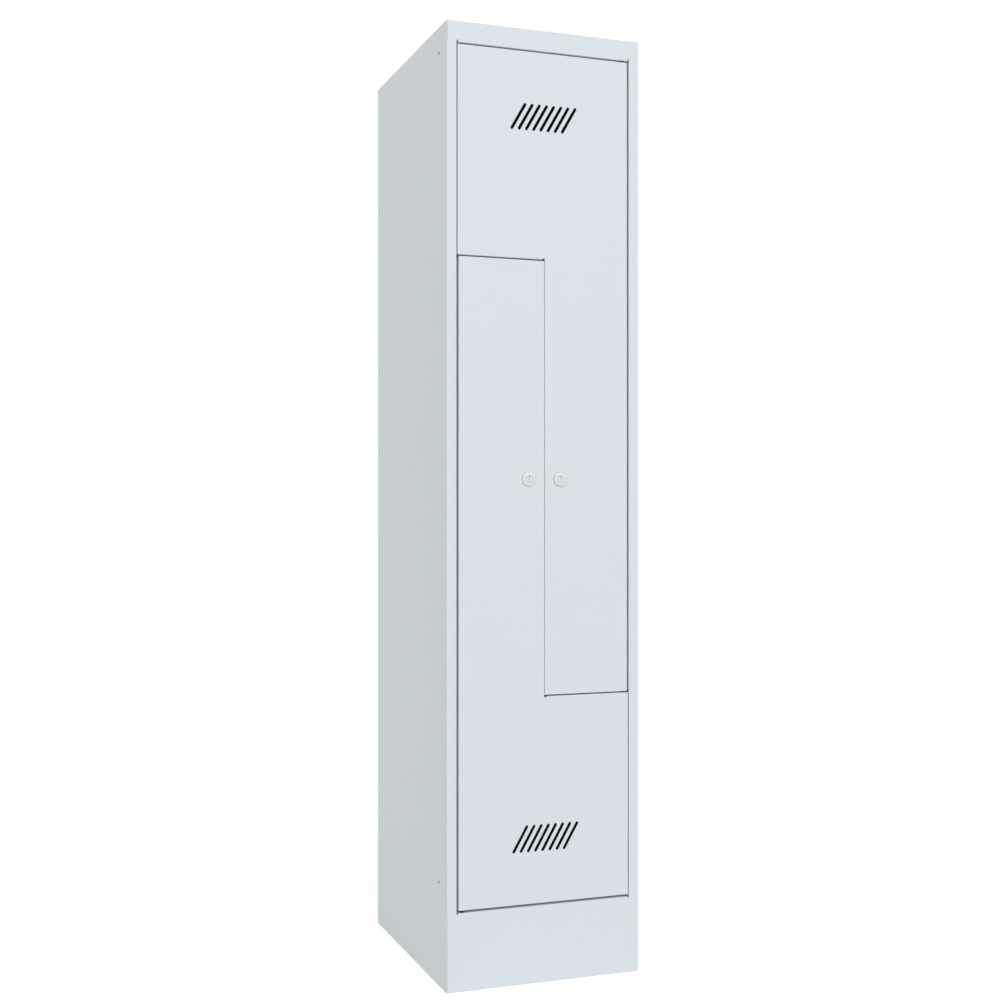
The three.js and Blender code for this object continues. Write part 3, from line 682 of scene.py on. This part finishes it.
for node, slot in slot_of_node.items():
    if node.endswith("_bush"):
        finish_piece(node + "_shape", pivot_bush(node), finishes[slot], node)
    elif node.endswith("_pivot_pin"):
        finish_piece(node + "_shape", riveted_pin(node), finishes[slot], node)
    elif node.endswith("_pivot_bracket"):
        bracket = finish_piece(node + "_shape", step_bracket(node), finishes[slot], node)
        rounding = bracket.modifiers.new("eased edges", "BEVEL")
        rounding.width = BRACKET_EDGE * MM
        rounding.segments = 2
        rounding.angle_limit = math.radians(60)


# Clothes rails, their sockets and hooks

RAIL_WALL = 1.2
RAIL_EASE = 0.3
SOCKET_PLATE = 2.5
SOCKET_CUP = 11.3
SOCKET_BORE = 9.3
SOCKET_EASE = 0.8


def rail_tube(node):
    low, high = box_mm(node)
    _, y, z = middle_mm(node)
    outer = (high[2] - low[2]) / 2
    inner = outer - RAIL_WALL
    corners = [(inner, low[0]), (outer, low[0]), (outer, high[0]), (inner, high[0])]
    bm = bmesh.new()
    turn(bm, eased(corners, RAIL_EASE), about_x(y, z))
    return finished_mesh(node + "_shape", bm)


def rail_socket(node):
    """A moulded plate with a cup that the rail sits in, its plate against the wall."""
    low, high = box_mm(node)
    _, y, z = middle_mm(node)
    plate = (high[2] - low[2]) / 2
    wall, mouth, way = (low[0], high[0], 1) if "_left_" in node else (high[0], low[0], -1)
    face = wall + way * SOCKET_PLATE
    outline = [(0, wall), (plate, wall), (plate, face), (SOCKET_CUP, face), (SOCKET_CUP, mouth)]
    outline += [(SOCKET_BORE, mouth), (SOCKET_BORE, face), (0, face)]
    bm = bmesh.new()
    turn(bm, eased(outline, SOCKET_EASE, 4), about_x(y, z))
    return finished_mesh(node + "_shape", bm)


HOOK_RING = 12.35
HOOK_BORE = 9.35
HOOK_EASE = 0.9
HOOK_ROOT = 1.5
HOOK_ROD = 2.5
HOOK_BOWL = 11.0
HOOK_DROP = 32.0
HOOK_TIP = 8.0
SHANK_STEPS = 4
BOWL_STEPS = 24
TIP_STEPS = 3
TIP_CAP_STEPS = 5
ROD_SIDES = 24
FUSING_VOXEL = 0.45


def hook_path(y, rail_z):
    """The middle line of a hook's rod: straight down, round the bowl and up to the tip."""
    top = HOOK_BORE + HOOK_ROOT
    points = [(y, rail_z - top + step / SHANK_STEPS * (top - HOOK_DROP)) for step in range(SHANK_STEPS + 1)]
    for step in range(1, BOWL_STEPS + 1):
        angle = step / BOWL_STEPS * math.pi
        across = y - HOOK_BOWL + HOOK_BOWL * math.cos(angle)
        points.append((across, rail_z - HOOK_DROP - HOOK_BOWL * math.sin(angle)))
    for step in range(1, TIP_STEPS + 1):
        points.append((y - 2 * HOOK_BOWL, rail_z - HOOK_DROP + HOOK_TIP * step / TIP_STEPS))
    return [Vector(point) for point in points]


def rod_rings(path):
    """The centre, direction and radius of each ring round a rod, which ends in a dome."""
    rings = []
    for i, point in enumerate(path):
        along = path[min(i + 1, len(path) - 1)] - path[max(i - 1, 0)]
        rings.append((point, along.normalized(), HOOK_ROD))
    tip_way = (path[-1] - path[-2]).normalized()
    for step in range(1, TIP_CAP_STEPS):
        angle = step / TIP_CAP_STEPS * QUARTER_TURN
        rings.append((path[-1] + tip_way * HOOK_ROD * math.sin(angle), tip_way, HOOK_ROD * math.cos(angle)))
    return rings


def rail_hook(node):
    """A ring and a bent rod, fused as they are moulded."""
    low, high = box_mm(node)
    x = (low[0] + high[0]) / 2
    half = (high[0] - low[0]) / 2
    rail_z = high[2] - HOOK_RING
    y = high[1] - HOOK_RING
    bm = bmesh.new()
    ring = [(HOOK_BORE, x - half), (HOOK_RING, x - half), (HOOK_RING, x + half), (HOOK_BORE, x + half)]
    turn(bm, eased(ring, HOOK_EASE, 4), about_x(y, rail_z))
    loops = []
    for point, along, radius in rod_rings(hook_path(y, rail_z)):
        across = Vector((-along.y, along.x))
        loop = []
        for k in range(ROD_SIDES):
            angle = 2 * math.pi * k / ROD_SIDES
            side = point + across * (radius * math.cos(angle))
            loop.append((x + radius * math.sin(angle), side.x, side.y))
        loops.append(loop)
    closed_skin(bm, loops, False)
    parts = finished_mesh(node + "_parts", bm)

    def add_fusing(holder):
        fuse = holder.modifiers.new("fused", "REMESH")
        fuse.mode = "VOXEL"
        fuse.voxel_size = FUSING_VOXEL * MM
        fuse.use_smooth_shade = True
        soften = holder.modifiers.new("moulded fillets", "SMOOTH")
        soften.factor = 0.5
        soften.iterations = 8

    return evaluated(parts, add_fusing)


for node, slot in slot_of_node.items():
    if node.endswith("_clothes_rail"):
        finish_piece(node + "_shape", rail_tube(node), finishes[slot], node)
    elif node.endswith("_socket"):
        finish_piece(node + "_shape", rail_socket(node), finishes[slot], node)
    elif node.endswith("_hook"):
        finish_piece(node + "_shape", rail_hook(node), finishes[slot], node)


# Door buffers

BUFFER_DOME = 1.6
BUFFER_DOME_STEPS = 8


def door_buffer(node):
    """A rubber stud whose front edge is rounded."""
    low, high = box_mm(node)
    x, _, z = middle_mm(node)
    radius = (high[0] - low[0]) / 2
    front, rear = low[1], high[1]
    outline = [(0, rear), (radius, rear), (radius, front + BUFFER_DOME)]
    for step in range(1, BUFFER_DOME_STEPS + 1):
        angle = step / BUFFER_DOME_STEPS * QUARTER_TURN
        out = radius - BUFFER_DOME + BUFFER_DOME * math.cos(angle)
        outline.append((out, front + BUFFER_DOME - BUFFER_DOME * math.sin(angle)))
    outline.append((0, front))
    bm = bmesh.new()
    turn(bm, outline, about_y(x, z), TINY_SEGMENTS)
    return finished_mesh(node + "_shape", bm)


for node, slot in slot_of_node.items():
    if slot == "buffer_rubber":
        finish_piece(node + "_shape", door_buffer(node), finishes[slot], node)


# Weld spots along the seams that are spot-welded

SPOT_TOP_SHARE = 0.72
SPOT_SIDES = 24
SPOT_SMOOTH_ANGLE = math.radians(70)


def make_weld_tree():
    """Low round spots at a steady pitch along a mesh's edges, facing the rear."""
    tree = bpy.data.node_groups.new("weld spots", "GeometryNodeTree")
    tree.interface.new_socket("Lines", in_out="INPUT", socket_type="NodeSocketGeometry")
    for label, value in (("Pitch", 0.1), ("Radius", 0.003), ("Proud", 0.0003)):
        socket = tree.interface.new_socket(label, in_out="INPUT", socket_type="NodeSocketFloat")
        socket.default_value = value
    tree.interface.new_socket("Finish", in_out="INPUT", socket_type="NodeSocketMaterial")
    tree.interface.new_socket("Spots", in_out="OUTPUT", socket_type="NodeSocketGeometry")

    def times(factor):
        scaled = tree.nodes.new("ShaderNodeMath")
        scaled.operation = "MULTIPLY"
        scaled.inputs[1].default_value = factor
        return scaled

    given = tree.nodes.new("NodeGroupInput")
    result = tree.nodes.new("NodeGroupOutput")
    line = tree.nodes.new("GeometryNodeMeshToCurve")
    spaced = tree.nodes.new("GeometryNodeResampleCurve")
    spaced.mode = "LENGTH"
    top = times(SPOT_TOP_SHARE)
    depth = times(2.0)
    sunk = times(-1.0)
    spot = tree.nodes.new("GeometryNodeMeshCone")
    spot.inputs["Vertices"].default_value = SPOT_SIDES
    lifted = tree.nodes.new("GeometryNodeTransform")
    lifted.inputs["Rotation"].default_value = (-QUARTER_TURN, 0, 0)
    placed = tree.nodes.new("GeometryNodeInstanceOnPoints")
    real = tree.nodes.new("GeometryNodeRealizeInstances")
    finished = tree.nodes.new("GeometryNodeSetMaterial")
    back = tree.nodes.new("ShaderNodeCombineXYZ")
    for source, target in (
        (given.outputs["Lines"], line.inputs["Mesh"]),
        (line.outputs["Curve"], spaced.inputs["Curve"]),
        (given.outputs["Pitch"], spaced.inputs["Length"]),
        (given.outputs["Radius"], spot.inputs["Radius Bottom"]),
        (given.outputs["Radius"], top.inputs[0]),
        (top.outputs[0], spot.inputs["Radius Top"]),
        (given.outputs["Proud"], depth.inputs[0]),
        (depth.outputs[0], spot.inputs["Depth"]),
        (given.outputs["Proud"], sunk.inputs[0]),
        (sunk.outputs[0], back.inputs["Y"]),
        (back.outputs[0], lifted.inputs["Translation"]),
        (spot.outputs["Mesh"], lifted.inputs["Geometry"]),
        (spaced.outputs["Curve"], placed.inputs["Points"]),
        (lifted.outputs["Geometry"], placed.inputs["Instance"]),
        (placed.outputs["Instances"], real.inputs["Geometry"]),
        (real.outputs["Geometry"], finished.inputs["Geometry"]),
        (given.outputs["Finish"], finished.inputs["Material"]),
        (finished.outputs["Geometry"], result.inputs["Spots"]),
    ):
        tree.links.new(source, target)
    return tree


weld_tree = make_weld_tree()
weld_inputs = {
    item.name: item.identifier
    for item in weld_tree.interface.items_tree
    if item.in_out == "INPUT"
}


def weld_spots(name, lines, body_node, slot, pitch):
    """Spots along lines, each a pair of points in millimetres, as one piece that rides with a node's body."""
    mesh = bpy.data.meshes.new(name + "_lines")
    points = [[MM * value for value in point] for line in lines for point in line]
    mesh.from_pydata(points, [(2 * i, 2 * i + 1) for i in range(len(lines))], [])

    def add_spots(holder):
        spots = holder.modifiers.new("weld spots", "NODES")
        spots.node_group = weld_tree
        spots[weld_inputs["Pitch"]] = pitch * MM
        spots[weld_inputs["Finish"]] = finishes[slot]

    bm = bmesh.new()
    bm.from_mesh(evaluated(mesh, add_spots))
    finish_piece(name, finished_mesh(name, bm, SPOT_SMOOTH_ANGLE), finishes[slot], body_node, replaces=False)


FOOT_FROM_MIDDLE = 20.0
FOOT_SHEET = 0.8
END_ROOM = 16.0
FOOT_SPOT_PITCH = 90.0

for door in ("lower_door", "upper_door"):
    lines = []
    for stiffener in ("_long_stiffener", "_short_stiffener"):
        low, high = box_mm(door + stiffener)
        x = (low[0] + high[0]) / 2
        y = low[1] + FOOT_SHEET
        for side in (-1, 1):
            foot = x + side * FOOT_FROM_MIDDLE
            lines.append(((foot, y, low[2] + END_ROOM), (foot, y, high[2] - END_ROOM)))
    weld_spots(door + "_stiffener_welds", lines, door + "_panel", "door_paint", FOOT_SPOT_PITCH)

REAR_FACE = 250.0
REAR_FLANGE_X = 192.5
FLANGE_SPOTS_LOW = 60.0
FLANGE_SPOTS_HIGH = 1800.0
ROOF_SPOTS_X = 170.0
ROOF_SPOTS_Z = 1838.0
BACK_SPOT_PITCH = 110.0

seam_lines = []
for side in (-1, 1):
    x = side * REAR_FLANGE_X
    seam_lines.append(((x, REAR_FACE, FLANGE_SPOTS_LOW), (x, REAR_FACE, FLANGE_SPOTS_HIGH)))
seam_lines.append(((-ROOF_SPOTS_X, REAR_FACE, ROOF_SPOTS_Z), (ROOF_SPOTS_X, REAR_FACE, ROOF_SPOTS_Z)))
weld_spots("back_seam_welds", seam_lines, "back_panel", "cabinet_paint", BACK_SPOT_PITCH)


# Ground and painted corner seams of the front frame, almost flush

FRONT_FACE = -250.0
HALF_WIDTH = 200.0
STILE_INNER_X = 181.0
BEND_RADIUS = 1.5
BEND_STEPS = 6
SEAM_INSET = 0.28
SEAM_DEPTH = 0.5
TOP_SEAM = (1809.65, 1811.1)
BOTTOM_SEAM = (148.9, 150.35)


def corner_seam(name, side, low, high):
    """A thin fill that runs along a stile's end and round its outer bend."""
    bend_x = HALF_WIDTH - BEND_RADIUS
    forwards = Vector((0, -1))
    line = [(Vector((STILE_INNER_X, FRONT_FACE)), forwards), (Vector((bend_x, FRONT_FACE)), forwards)]
    centre = Vector((bend_x, FRONT_FACE + BEND_RADIUS))
    for step in range(1, BEND_STEPS + 1):
        angle = step / BEND_STEPS * QUARTER_TURN
        out = Vector((math.sin(angle), -math.cos(angle)))
        line.append((centre + BEND_RADIUS * out, out))
    rings = []
    for point, out in line:
        front = point - out * SEAM_INSET
        back = point - out * (SEAM_INSET + SEAM_DEPTH)
        corners = ((front, low), (back, low), (back, high), (front, high))
        rings.append([(side * place.x, place.y, z) for place, z in corners])
    bm = bmesh.new()
    closed_skin(bm, rings, False)
    seam = finished_mesh(name, bm)
    finish_piece(name, seam, finishes["cabinet_paint"], "roof_and_top_rail", replaces=False)


for side, word in ((-1, "left"), (1, "right")):
    corner_seam("top_" + word + "_corner_seam", side, *TOP_SEAM)
    corner_seam("bottom_" + word + "_corner_seam", side, *BOTTOM_SEAM)


# Floor, light and camera

FLOOR_WHITE = 0.92
FLOOR_REACH = 40.0


def grey(level):
    return level, level, level, 1


def make_floor(shade_share, glow_share):
    """A plain white floor that keeps a soft shadow, and to the camera and in gloss glows up to full white."""
    material = bpy.data.materials.new("white floor")
    material.use_nodes = True
    tree = material.node_tree
    tree.nodes.clear()
    path = add_node(tree, "LightPath")
    seen = math_node(tree, "MAXIMUM", path.outputs["Is Camera Ray"], path.outputs["Is Glossy Ray"])
    bounce = add_node(tree, "BsdfDiffuse", Color=grey(FLOOR_WHITE))
    pale = add_node(tree, "BsdfDiffuse", Color=grey(shade_share))
    glow = add_node(tree, "Emission", Color=(1, 1, 1, 1), Strength=glow_share)
    both = add_node(tree, "AddShader", i0=pale.outputs[0], i1=glow.outputs[0])
    chosen = add_node(tree, "MixShader", i0=seen, i1=bounce.outputs[0], i2=both.outputs[0])
    add_node(tree, "OutputMaterial", Surface=chosen.outputs[0])
    reach = FLOOR_REACH
    mesh = bpy.data.meshes.new("floor")
    corners = [(-reach, -reach, 0), (reach, -reach, 0), (reach, reach, 0), (-reach, reach, 0)]
    mesh.from_pydata(corners, [], [(0, 1, 2, 3)])
    mesh.materials.append(material)
    floor = bpy.data.objects.new("floor", mesh)
    bpy.context.scene.collection.objects.link(floor)
    floor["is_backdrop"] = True


def make_world(strength):
    """An even white sky, which the camera, gloss and glass see at full white."""
    world = bpy.data.worlds.new("white studio")
    bpy.context.scene.world = world
    world.use_nodes = True
    tree = world.node_tree
    tree.nodes.clear()
    path = add_node(tree, "LightPath")
    seen = math_node(tree, "MAXIMUM", path.outputs["Is Camera Ray"], path.outputs["Is Glossy Ray"])
    seen = math_node(tree, "MAXIMUM", seen, path.outputs["Is Transmission Ray"])
    light = add_node(tree, "Background", Color=(1, 1, 1, 1), Strength=strength)
    white = add_node(tree, "Background", Color=(1, 1, 1, 1), Strength=1.0)
    chosen = add_node(tree, "MixShader", i0=seen, i1=light.outputs[0], i2=white.outputs[0])
    add_node(tree, "OutputWorld", Surface=chosen.outputs[0])


def add_sun(name, azimuth, elevation, strength, colour, spread):
    """A broad soft lamp. Azimuth 0 stands in front, and 90 to the right; elevation is above the horizon."""
    lamp = bpy.data.lights.new(name, "SUN")
    lamp.energy = strength
    lamp.color = colour
    lamp.angle = math.radians(spread)
    holder = bpy.data.objects.new(name, lamp)
    a = math.radians(azimuth)
    e = math.radians(elevation)
    towards = Vector((math.sin(a) * math.cos(e), -math.cos(a) * math.cos(e), math.sin(e)))
    holder.rotation_mode = "QUATERNION"
    holder.rotation_quaternion = towards.to_track_quat("Z", "Y")
    bpy.context.scene.collection.objects.link(holder)


CLIP_NEAR = 0.05
CLIP_FAR = 200.0


def make_camera():
    """The photograph's camera: level, with a small shift for its horizon."""
    data = bpy.data.cameras.new("photo camera")
    data.sensor_width = SENSOR_WIDTH
    data.lens = FOCAL_PIXELS / IMAGE_SIZE * SENSOR_WIDTH
    data.shift_y = HORIZON_DROP_PIXELS / IMAGE_SIZE
    data.clip_start = CLIP_NEAR
    data.clip_end = CLIP_FAR
    camera = bpy.data.objects.new("photo camera", data)
    camera.location = CAMERA_PLACE
    camera.rotation_euler = (QUARTER_TURN, 0, -CAMERA_YAW)
    bpy.context.scene.collection.objects.link(camera)
    bpy.context.scene.camera = camera


make_floor(shade_share=0.32, glow_share=0.785)
make_world(strength=0.56)
add_sun("front lamp", azimuth=8, elevation=25, strength=1.16, colour=(0.97, 0.985, 1.0), spread=60)
add_sun("left lamp", azimuth=-75, elevation=20, strength=0.33, colour=(1.0, 0.95, 0.55), spread=60)
make_camera()
bpy.context.scene.view_settings.view_transform = "Standard"

low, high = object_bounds()
